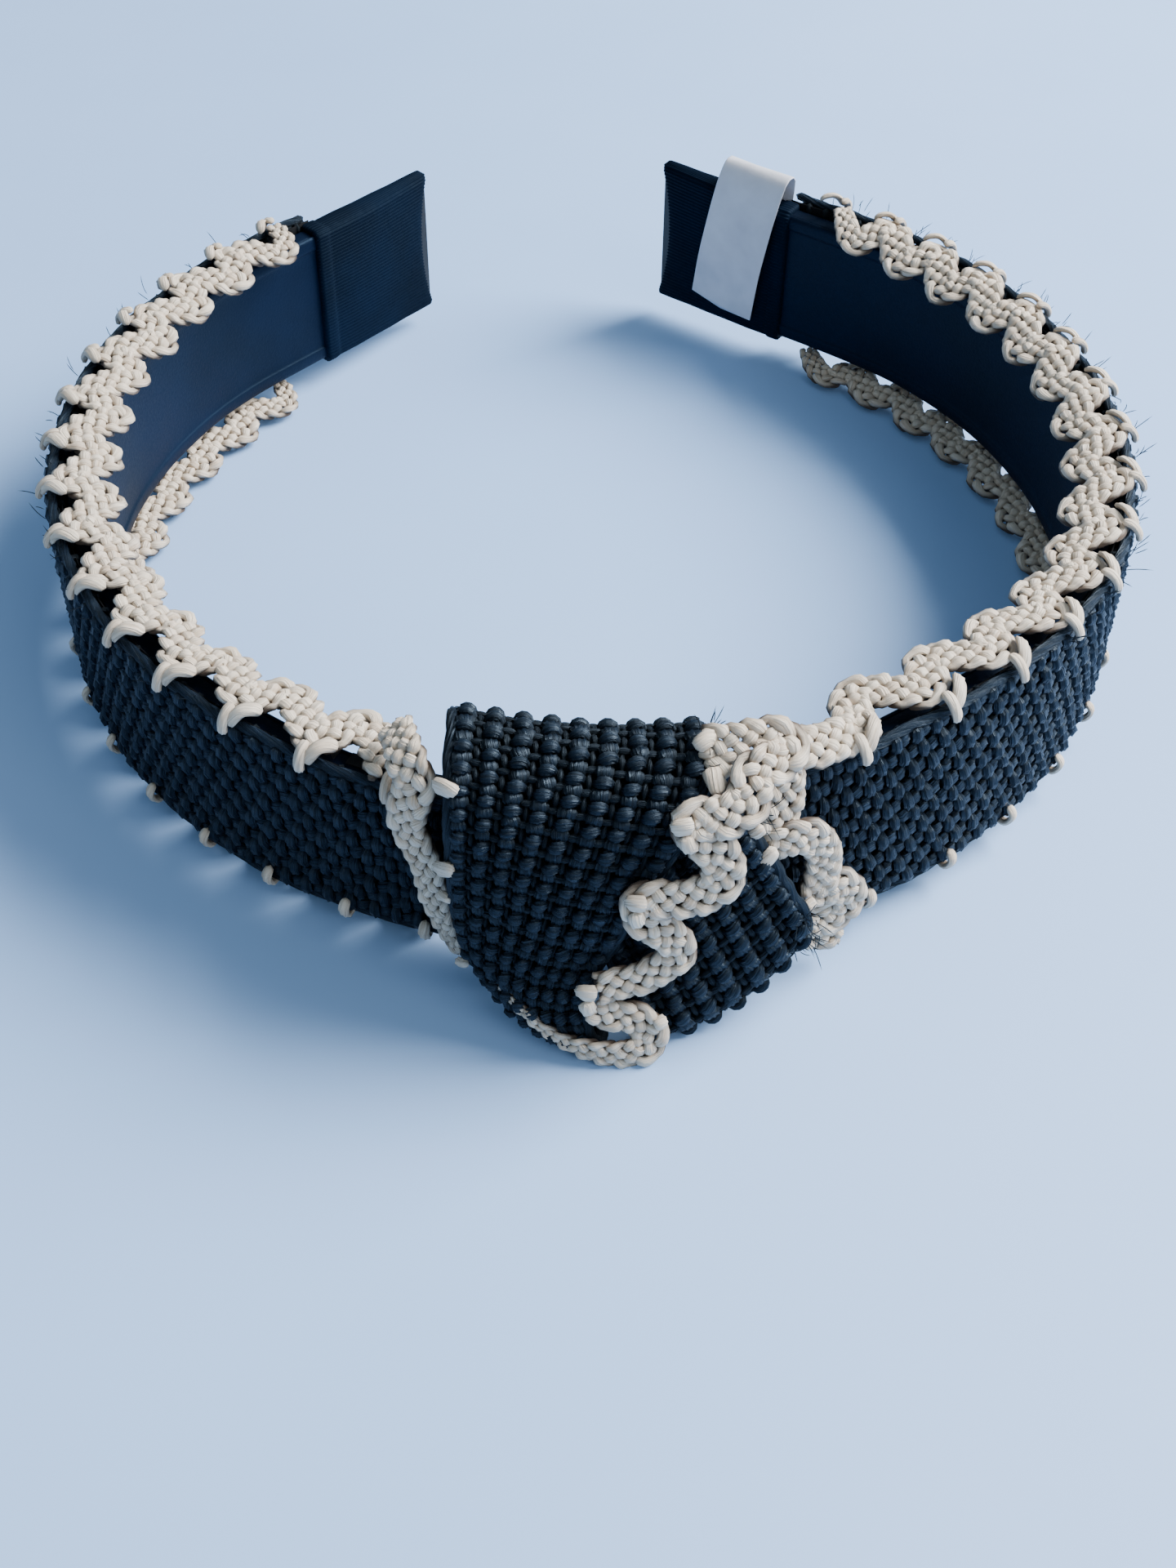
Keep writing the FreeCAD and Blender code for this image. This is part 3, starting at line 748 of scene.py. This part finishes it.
def make_trim(level, side):
    name = side_name(side)
    top = level == "top"
    rng = np.random.default_rng(40 + side + (9 if top else 0))
    catches = catches_on(side)
    if not top:
        catches = catches + 3.0
        catches = catches[(np.abs(catches) > 24) & (np.abs(catches) < CAP_START - 1)]
    surface = top_trim_surface if top else low_trim_surface
    corners = zigzag_points(catches, *((-0.2, 5.8, 6.6) if top else (1.4, 5.9, 6.9)), rng)
    along, inward = blend_curve(corners, 0.5).T
    normal = facing(surface, along, inward)[2]
    normal = normal * np.sign(normal[:, 2:3])
    line = surface(along, inward)
    # narrower towards the cap
    narrow = ([0, 0.93, 1], [1, 1, 0.5]) if side > 0 else ([0, 0.07, 1], [0.5, 1, 1])
    strands = plait(line, normal, 60 + side, narrow)
    if top:
        shapes = [(TOP_HOOK, 0.70, 0.50), (TOP_RETURN, 0.85, 0.42)]
        loops = hooks(catches, rng, 0.15, TRIM_TOP, (70.0, 26.0), (80.0, 40.0), shapes)
    else:
        loops = hooks(catches, rng, 0.2, 0.0, (70.0, 5.0), (80.0, 0.0), [(LOW_HOOK, 0.70, 0.42)])
    if top and side > 0:
        # on under the diagonal trim of the knot
        rest = [knot_point(10.6, -68.6, 31.6), knot_point(13.6, -67.6, 31.4), knot_point(17.4, -66.4, 30.6)]
        line = even_steps(smooth_line(np.vstack([rest, line[3:12:4]]), 200), step=0.5)
        strands += plait(line, np.tile(unit(np.array([0.1, -0.5, 0.85])), (len(line), 1)), 66)
    piece = roll_strands(f"{level}_plait_{name}", strands, 10, CREAM, ridge=0.09)
    caught = roll_strands(f"{level}_trim_loops_{name}", loops, 14, CREAM, ridge=0.10)
    for part in (piece, caught):
        flex(part, side)
    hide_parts(f"{level}_trim_{name}", f"{level}_trim_{name}_root")


# ------------------------------ sleeve, lining and caps
def make_cloth(side):
    name = side_name(side)
    start, end = (0.1, CAP_START + 9) if side > 0 else (-CAP_START - 9, -0.1)
    sleeve = ribbon_along(
        f"sleeve_{name}",
        [
            (65.85, SLEEVE_LOW + 0.15), (67.9, SLEEVE_LOW), (68.12, SLEEVE_LOW + 0.3),
            (68.12, SLEEVE_HIGH - 0.3), (67.9, SLEEVE_HIGH), (65.85, SLEEVE_HIGH - 0.15),
            (65.85, SLEEVE_HIGH - 0.5), (67.66, SLEEVE_HIGH - 0.52),
            (67.66, SLEEVE_LOW + 0.52), (65.85, SLEEVE_LOW + 0.5),
        ],
        start, end, 1.6, SATIN, 0.03, 5,
    )
    lining = ribbon_along(
        f"satin_lining_{name}",
        [
            (65.55, SLEEVE_LOW), (65.78, SLEEVE_LOW + 0.3), (65.78, SLEEVE_HIGH - 0.3), (65.55, SLEEVE_HIGH),
            (65.12, SLEEVE_HIGH - 0.35), (65.08, SLEEVE_HIGH - 2.0), (65.42, SLEEVE_HIGH - 2.35),
            (65.42, 15.0), (65.42, SLEEVE_LOW + 2.35), (65.08, SLEEVE_LOW + 2.0), (65.12, SLEEVE_LOW + 0.35),
        ],
        start, end, 1.2, SATIN, 0.05, 8,
    )
    for piece, nodes in ((sleeve, "satin_sleeve"), (lining, "lining")):
        flex(piece, side)
        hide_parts(f"{nodes}_{name}")
    if side < 0:
        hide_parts("satin_sleeve_centre")
        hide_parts("lining_centre")


# how the cap's section changes along it: (distance from the cap's start, how far it swells), in mm
CAP_STATIONS = [
    (-0.25, -0.45), (-0.1, 0.0), (0.3, 0.14), (1.6, 0.16), (2.1, 0.10), (2.35, -0.06), (2.8, -0.02),
    (6.0, 0.02), (10.0, -0.03), (14.0, 0.04), (17.5, 0.0), (20.5, 0.04), (22.5, 0.03), (23.6, 0.0),
    (24.0, -0.14), (23.8, -0.45),
]
CAP_RIBS, POINTS_A_RIB = 94, 4


def make_cap(side):
    """Ribbed ribbon folded over the tip: fine ribs lengthwise, thinner towards its pinched, hollowed end."""
    name = side_name(side)
    o, u, cut = (CAP_OUT - CAP_IN) / 2, (CAP_HIGH - CAP_LOW) / 2, 0.8
    mid_out, mid_up = (CAP_OUT + CAP_IN) / 2, (CAP_HIGH + CAP_LOW) / 2
    border = np.array([
        (cut - o, -u), (o - cut, -u), (o, cut - u), (o, u - cut), (o - cut, u),
        (cut - o, u), (-o, u - cut), (-o, cut - u), (cut - o, -u),
    ])
    ring = even_steps(border, count=CAP_RIBS * POINTS_A_RIB + 1)[:-1]
    outward = unit(ring * np.array([1.0, 0.12]))
    rib = 0.085 * np.cos(2 * np.pi * np.arange(len(ring)) / POINTS_A_RIB)
    rows = []
    for at, grow in CAP_STATIONS:
        pinch = max(0.0, (at - 9) / 15)
        place = ring * np.array([1 - 0.42 * pinch, 1 + 0.025 * pinch**2]) + outward * (rib + grow)[:, None]
        hollow = 1.7 * (1 - (ring[:, 1] / u) ** 2) * max(0.0, (at - 14) / 10) ** 1.5
        along = (CAP_START + at - hollow) * side
        rows.append(on_hoop(along, mid_out + place[:, 0] + 0.25 * pinch, mid_up + place[:, 1]))
    places = np.stack([np.vstack([row, row[:1]]) for row in rows], 1).reshape(-1, 3) * MM
    cap = tube(f"ribbon_cap_{name}", len(rows) - 1, len(ring), places, RIBBON)
    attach(cap, f"{name}_arm")
    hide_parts(f"end_cap_{name}")


def make_sticker():
    """Blank paper folded over the cap, its fold standing a little above the ribbon."""
    fold = high("price_sticker", 2) - 0.15
    middle = CAP_START + 3.0 + 11.5 / 2
    out, up = np.transpose([
        (64.0, 6.6), (63.7, 10.0), (63.4, 15.0), (63.6, 20.0), (64.0, 24.5), (64.6, 28.2), (65.6, 30.6),
        (66.7, fold), (67.8, 30.4), (68.7, 27.4), (69.0, 23.5), (69.2, 19.0), (69.5, 15.0),
    ])
    line = smooth_line(on_hoop(middle - 0.16 * (up - 17), out, up), 60)
    side_way = unit(on_hoop(middle + 1, 66, 15) - on_hoop(middle, 66, 15))
    normal = np.cross(unit(np.gradient(line, axis=0)), side_way)
    strand = Strand(line, normal, 5.7, 0.11, square=0.25)
    paper = roll_strands("blank_sticker", [strand], 24, PAPER, ridge=0.0)
    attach(paper, "right_arm")
    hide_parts("price_sticker")


# ------------------------------ knot
def knot_point(x, y, z):
    """A place near the knot, measured from the hoop's centre."""
    return (x, y + CENTRE_Y, z)


def edge_line(points):
    return smooth_line([knot_point(*p) for p in points], 240)


def edge_at(line, share):
    t = np.clip(share, -0.02, 1.02) * (len(line) - 1)
    index = np.clip(np.floor(t).astype(int), 0, len(line) - 2)
    part = (t - index)[..., None]
    return line[index] * (1 - part) + line[index + 1] * part


FRONT_LEFT = edge_line([
    (-20.8, -58.0, 26.5), (-20.9, -58.6, 30.6), (-21.0, -60.8, 33.6), (-21.4, -64.4, 34.3),
    (-22.0, -69.0, 32.4), (-22.4, -72.2, 28.4), (-22.5, -73.5, 22.5), (-22.2, -74.1, 16.0),
    (-21.2, -74.1, 11.0), (-19.8, -72.2, 8.6), (-18.6, -69.0, 8.2),
])
FRONT_RIGHT = edge_line([
    (5.2, -61.6, 28.0), (5.2, -63.2, 31.4), (5.1, -66.2, 33.7), (4.7, -69.9, 33.4), (3.7, -73.0, 31.6),
    (2.2, -75.2, 28.9), (-0.2, -76.4, 24.9), (-2.9, -77.2, 20.2), (-5.6, -78.0, 14.6),
    (-8.4, -78.9, 9.6), (-9.4, -80.2, 6.0), (-8.6, -81.6, 3.0), (-7.4, -81.0, 1.0), (-6.8, -77.6, 0.8),
])

LOWER_RIGHT = edge_line([
    (5.6, -73.4, 30.5), (8.2, -74.0, 27.0), (11.2, -74.6, 22.0), (14.6, -75.1, 15.4),
    (16.2, -75.1, 11.6), (16.0, -73.8, 8.8), (15.2, -71.4, 8.2),
])
LOWER_LEFT = edge_line([
    (-9.0, -74.8, 21.0), (-7.6, -76.0, 15.0), (-5.2, -77.8, 9.2), (-3.2, -79.8, 4.4),
    (-2.0, -80.8, 1.6), (-1.4, -78.8, 0.8), (-0.8, -75.6, 0.8),
])
GROUND_DEPTH = 0.55
EDGE_POINTS = 120


def panel(left_edge, right_edge, bend_from, bend_over, high_push, low_push):
    """The surface of a wrap between two edge lines: it bulges, and is drawn down towards the tip."""

    def surface(across, down):
        left, right = edge_at(left_edge, down), edge_at(right_edge, down)
        across = np.asarray(across)[..., None]
        low_part = np.clip((np.asarray(down) - bend_from) / bend_over, 0, 1)[..., None]
        push = np.array(high_push) * (1 - low_part) + np.array(low_push) * low_part
        return left * (1 - across) + right * across + 4 * across * (1 - across) * push

    return surface


def wrap_weave(surface, columns, rows, seed, flip):
    """A knot strip: broad and narrow columns by turns, and rows drawn tight between them."""
    rng = np.random.default_rng(seed)
    broad = np.arange(columns) % 2 == 0
    widths = np.where(broad, 1.56, 0.44) * (1 + rng.normal(0, 0.04, columns))
    places = (np.cumsum(widths) - widths / 2) / widths.sum()
    warp_half = widths / widths.sum() * np.where(broad, 0.45, 0.5)
    fat = np.arange(rows) % 2 == 1
    heights = np.where(fat, 1.1, 0.9) * (1 + rng.normal(0, 0.05, rows))
    downs = (np.cumsum(heights) - heights / 2) / heights.sum()
    weft_half = heights / heights.sum() * np.where(fat, 0.56, 0.34)
    return woven(
        surface, (places, downs), (warp_half, weft_half),
        lift=(np.where(broad, 0.36, 0.12), np.where(fat, 0.62, 0.2)),
        thick=(np.where(broad, 0.46, 0.322), np.where(fat, 0.62, 0.35)),
        seed=seed, flip=flip, samples=(4, 5),
    )


def make_ground(name, surface, flip):
    """Thin cloth just behind a knot strip, closed round its edges."""
    work = bmesh.new()
    bmesh.ops.create_grid(work, x_segments=24, y_segments=30, size=0.5)
    flat = np.array([v.co for v in work.verts])
    across, down = flat[:, 0] * 0.9 + 0.5, flat[:, 1] * 0.94 + 0.5
    normal = facing(surface, across, down, flip)[2]
    for vertex, place in zip(work.verts, (surface(across, down) - normal * GROUND_DEPTH) * MM):
        vertex.co = place
    bmesh.ops.solidify(work, geom=work.faces[:], thickness=0.00025)
    bmesh.ops.recalc_face_normals(work, faces=work.faces)
    return finish_mesh(name, work, GROUND)


def cut_size(surface):
    """Mean width and length of the cloth between a panel's edges, in metres."""
    share = np.linspace(0.05, 0.95, 40)
    ends = np.linspace(0.03, 0.97, 40)
    across = [surface(share, np.full(40, down)) for down in (0.1, 0.3, 0.5, 0.7, 0.9)]
    down = [surface(np.full(40, place), ends) for place in (0.1, 0.5, 0.9)]
    return [np.mean([reach_along(line)[-1] for line in lines]) * MM for lines in (across, down)]


def make_wrap(name, surface, columns, rows, seed, node):
    flip = -1.0 if facing(surface, np.array([0.5]), np.array([0.5]))[2][0, 1] > 0 else 1.0
    lengthwise, crosswise = wrap_weave(surface, columns, rows, seed, flip)
    # a cord along each edge
    drift = wander(np.random.default_rng(seed + 5), EDGE_POINTS, 0.08, 6)[:, None]
    down = np.linspace(0, 1, EDGE_POINTS)
    for way in (0.0, 1.0):
        across = np.full(EDGE_POINTS, way)
        normal = facing(surface, across, down, flip)[2]
        line = surface(across, down) - normal * 0.25 + drift
        lengthwise.append(Strand(line, normal, 0.85, 0.75, 0.3, 0.7))
    ground = make_ground(f"{name}_ground", surface, flip)
    weave_long = roll_strands(f"{name}_warps", lengthwise, 18, RAFFIA, ridge=0.14)
    weave_cross = roll_strands(f"{name}_wefts", crosswise, 18, RAFFIA, ridge=0.14)
    for piece in (ground, weave_long, weave_cross):
        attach(piece, "crown")
    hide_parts(node)
    tuple(cut_size(surface))


def pass_surface(across, along):
    return on_hoop(along, 71.5, 7.0 + across)


def make_inner_pass():
    """The strip's hidden pass behind the wraps."""
    start, end = np.radians([-16.5, 11.0]) * STRIP_FACE
    wefts = start + 1.5 * (0.5 + np.arange(int((end - start) / 1.5)))
    lengthwise, crosswise = woven(
        pass_surface, (2.2 * (np.arange(8) + 0.5), wefts), (np.full(8, 1.0), np.full(len(wefts), 0.72)),
        lift=(0.25, 0.35), thick=(0.45, 0.5), seed=33, flip=-1.0,
    )
    inner = roll_strands("knot_inner_weave", lengthwise + crosswise, 8, RAFFIA)
    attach(inner, "crown")
    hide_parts("knot_inner_pass")


def knot_trim(name, points, faces, node, seed, narrow, loops):
    """A plait worked through given places; faces are (place in the list, direction it faces)."""
    marks = [knot_point(*p) for p in points]
    line = even_steps(smooth_line(marks, 40 * len(marks)), step=0.5)
    share = np.linspace(0, len(points) - 1, len(line))
    strands = plait(line, unit(read_between(share, *zip(*faces))), seed, narrow)
    piece = roll_strands(name, strands, 12, CREAM, ridge=0.09)
    extra = []
    for path, face, wide in loops:
        places = np.array([knot_point(*p) for p in path])
        middle = places.mean(0)
        extra.append(fat_strand(middle + (places - middle) * 0.58, unit(np.array(face, float)), wide, 0.62))
    caught = roll_strands(f"{name}_loops", extra, 14, CREAM, ridge=0.10)
    for part in (piece, caught):
        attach(part, "crown")
    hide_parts(node)


def make_knot_trims():
    front, upper = (0.0, -1.0, 0.35), (0.1, -0.75, 0.75)
    left_face, right_face = (-0.5, -0.8, 0.2), (0.25, -0.95, 0.2)
    diagonal = [
        (3.8, -69.0, 34.9), (7.3, -70.0, 34.9), (12.4, -69.6, 34.8), (12.0, -71.4, 33.9),
        (8.8, -73.4, 33.9), (7.8, -75.6, 31.9), (4.9, -76.6, 31.1), (1.9, -76.6, 31.0),
        (3.6, -77.5, 29.0), (5.2, -78.1, 26.6), (4.9, -78.8, 23.2), (0.9, -79.1, 22.0),
        (-2.9, -79.0, 22.2), (-2.8, -79.3, 19.4), (-0.4, -79.6, 17.2), (1.0, -79.8, 14.2),
        (-2.3, -80.3, 11.4), (-6.2, -80.6, 10.6), (-8.4, -80.7, 10.0),
    ]
    loops = [
        ([(2.4, -70.4, 34.4), (3.6, -70.2, 35.6), (5.0, -69.4, 35.9), (6.2, -69.2, 35.4)], upper, 1.0),
        ([(4.2, -70.8, 34.2), (4.8, -73.2, 33.4), (5.6, -75.8, 32.0)], upper, 1.1),
        ([(3.4, -69.4, 33.6), (5.4, -71.4, 33.6), (7.4, -73.8, 33.2)], upper, 1.1),
        ([(-0.9, -77.0, 30.2), (0.4, -77.8, 31.2), (1.9, -77.8, 31.6), (3.0, -77.2, 31.4)], front, 1.0),
        ([(0.9, -77.8, 31.0), (1.4, -78.4, 29.4), (2.4, -78.4, 27.8)], front, 0.95),
        ([(-5.4, -79.0, 22.0), (-4.4, -80.0, 22.8), (-3.0, -80.2, 22.8), (-1.8, -79.8, 22.6)], front, 1.0),
        ([(-4.2, -80.1, 22.4), (-3.8, -80.5, 20.6), (-3.0, -80.2, 19.0)], front, 0.95),
        ([(-10.6, -80.6, 9.8), (-9.6, -81.6, 10.8), (-8.2, -81.8, 10.8), (-7.0, -81.4, 10.6)], front, 1.0),
        ([(-9.3, -81.8, 10.4), (-8.9, -82.2, 8.6), (-8.2, -81.9, 7.2)], front, 0.95),
        ([(8.2, -75.8, 27.2), (9.0, -76.4, 28.4), (10.2, -75.8, 29.2)], front, 0.8),
    ]
    knot_trim(
        "knot_diagonal_trim", diagonal, [(0, upper), (5, upper), (8, front), (18, front)],
        "knot_trim_diagonal", 71, narrow=([0, 0.08, 0.5, 0.8, 1], [0.75, 1, 0.95, 0.85, 0.75]), loops=loops,
    )
    tip = [
        (-8.2, -81.2, 8.0), (-6.4, -81.5, 6.6), (-3.8, -81.6, 6.0), (-2.0, -82.2, 3.8),
        (-3.0, -83.0, 1.9), (-5.6, -83.1, 1.6), (-8.8, -82.6, 2.2), (-11.6, -81.6, 3.0),
        (-15.2, -79.9, 5.6), (-18.6, -77.0, 8.6),
    ]
    knot_trim(
        "knot_tip_trim", tip, [(0, (0, -0.9, 0.45)), (9, (-0.2, -0.85, -0.3))], "knot_trim_tip", 73,
        narrow=([0, 0.35, 0.55, 0.7, 1], [0.7, 0.85, 0.6, 0.35, 0.25]),
        loops=[([(-2.2, -82.6, 5.2), (-1.0, -82.6, 5.8), (0.2, -81.6, 5.6)], (0, -0.9, 0.4), 0.85)],
    )
    left = [
        (-27.6, -58.8, 30.2), (-27.0, -61.6, 31.2), (-26.6, -64.8, 31.6), (-25.6, -67.4, 30.0),
        (-26.6, -67.8, 26.8), (-26.8, -67.6, 23.8), (-25.8, -68.4, 21.0), (-24.9, -69.0, 17.8),
        (-24.5, -69.4, 14.0), (-23.7, -69.6, 10.4), (-22.8, -69.8, 7.2), (-21.4, -70.2, 4.4),
    ]
    knot_trim(
        "knot_left_trim", left,
        [(0, (-0.3, -0.3, 0.9)), (2, (-0.4, -0.6, 0.7)), (4, left_face), (11, left_face)],
        "knot_trim_left", 75, narrow=([0, 0.3, 0.5, 0.7, 0.85, 1], [1.0, 1.0, 0.85, 0.75, 0.55, 0.3]),
        loops=[
            ([(-24.6, -68.6, 31.0), (-23.0, -70.4, 32.2), (-21.4, -71.4, 32.0),
             (-20.6, -71.2, 31.4)], left_face, 1.05),
            ([(-24.8, -70.6, 20.2), (-23.6, -73.0, 22.6), (-22.2, -74.8, 24.2),
             (-21.4, -75.0, 24.0)], left_face, 1.0),
            ([(-24.2, -71.0, 16.8), (-23.2, -73.4, 18.4), (-22.2, -74.8, 19.2)], left_face, 0.6),
            ([(-22.8, -71.4, 5.6), (-21.8, -73.4, 7.4), (-20.8, -74.4, 8.6)], left_face, 0.6),
        ],
    )
    right = [
        (13.2, -69.6, 31.0), (12.9, -71.2, 27.6), (12.0, -72.4, 24.4), (10.6, -73.0, 21.8),
        (13.0, -73.0, 23.4), (16.0, -72.2, 22.6), (17.8, -71.4, 19.0), (17.9, -71.4, 14.8),
        (17.4, -71.6, 12.2), (19.8, -71.0, 13.4), (21.8, -70.4, 10.8), (20.6, -70.8, 7.8),
        (17.2, -71.8, 8.2), (18.6, -71.4, 5.4), (21.8, -70.4, 5.0),
    ]
    knot_trim(
        "knot_right_trim", right, [(0, upper), (2, right_face), (14, right_face)], "knot_trim_right", 77,
        narrow=([0, 0.15, 0.6, 1], [0.85, 0.85, 0.9, 0.8]),
        loops=[
            ([(9.6, -74.4, 20.2), (10.2, -75.2, 22.0), (11.4, -74.8, 23.6),
             (12.4, -74.0, 24.4)], right_face, 1.0),
            ([(15.4, -74.6, 13.0), (16.4, -73.6, 13.4), (17.6, -72.8, 13.6)], right_face, 0.8),
            ([(14.8, -74.8, 9.6), (16.0, -74.0, 9.8), (17.2, -73.0, 9.6)], right_face, 0.8),
        ],
    )


def fray(name, spots, seed, body):
    """Loose fibre ends: each spot is (place, the way they stand out, how many)."""
    rng = np.random.default_rng(seed)
    hairs = []
    for place, way, count in spots:
        for _ in range(count):
            start = np.array(place) + rng.normal(0, 0.9, 3) * (0.6, 0.4, 0.6)
            heading = unit(np.array(way, float) + rng.normal(0, 0.5, 3))
            bend = rng.normal(0, 0.5, 3)
            reach = rng.uniform(0.8, 2.6)
            t = np.linspace(0, 1, 6)[:, None]
            line = start + heading * t * reach + bend * (t**2) * reach * 0.6
            hairs.append(Strand(line, unit(np.cross(heading, (0.3, 0.2, 0.9))), 0.055, 0.05, rise=0.5))
    piece = roll_strands(name, hairs, 4, RAFFIA, ridge=0.0)
    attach(piece, body)


# ------------------------------ put it together
for side in (-1, 1):
    make_cloth(side)
    make_strip(side)
    make_trim("top", side)
    make_trim("lower", side)
    make_cap(side)
make_sticker()
make_wrap(
    "front_wrap", panel(FRONT_LEFT, FRONT_RIGHT, 0.62, 0.25, (0.0, -1.3, 0.0), (-0.6, -1.64, -2.6)),
    columns=17, rows=40, seed=21, node="knot_front_wrap",
)
make_wrap(
    "lower_wrap", panel(LOWER_LEFT, LOWER_RIGHT, 0.45, 0.35, (0.0, -1.0, 0.0), (0.6, -0.8, -2.6)),
    columns=13, rows=26, seed=27, node="knot_lower_wrap",
)
make_inner_pass()
make_knot_trims()
fray(
    "knot_fray",
    [
        (knot_point(5.2, -67.2, 34.4), (0.5, -0.2, 1), 18), (knot_point(5.0, -71.0, 33.6),
         (0.8, -0.6, 0.6), 8),
        (knot_point(15.6, -75.4, 13.6), (0.7, -0.8, 0.2), 16), (knot_point(16.4, -75.0, 10.0),
         (0.8, -0.6, -0.2), 16),
        (knot_point(15.0, -74.6, 7.4), (0.6, -0.6, -0.8), 10), (knot_point(10.0, -74.4, 28.0),
         (0.6, -0.6, 0.6), 10),
    ],
    81, "crown",
)
for side in (-1, 1):
    places = np.arange(56, CAP_START - 4, 5.2)
    spots = []
    for s in places:
        outward = on_hoop(side * s, 72, 29) - on_hoop(side * s, 70, 27)
        spots.append((on_hoop(side * s, 70.3, STRIP_HIGH - 0.2), outward, 5 if side > 0 else 2))
    fray(f"strip_fray_{side_name(side)}", spots, 83 + side, f"{side_name(side)}_arm")

for name in ("hoop_core_centre", "hoop_core_left", "hoop_core_right"):
    core = bpy.data.objects[name]
    for place in core.material_slots:
        place.material = PLASTIC
    if not core.material_slots:
        core.data.materials.append(PLASTIC)

bpy.context.view_layer.update()
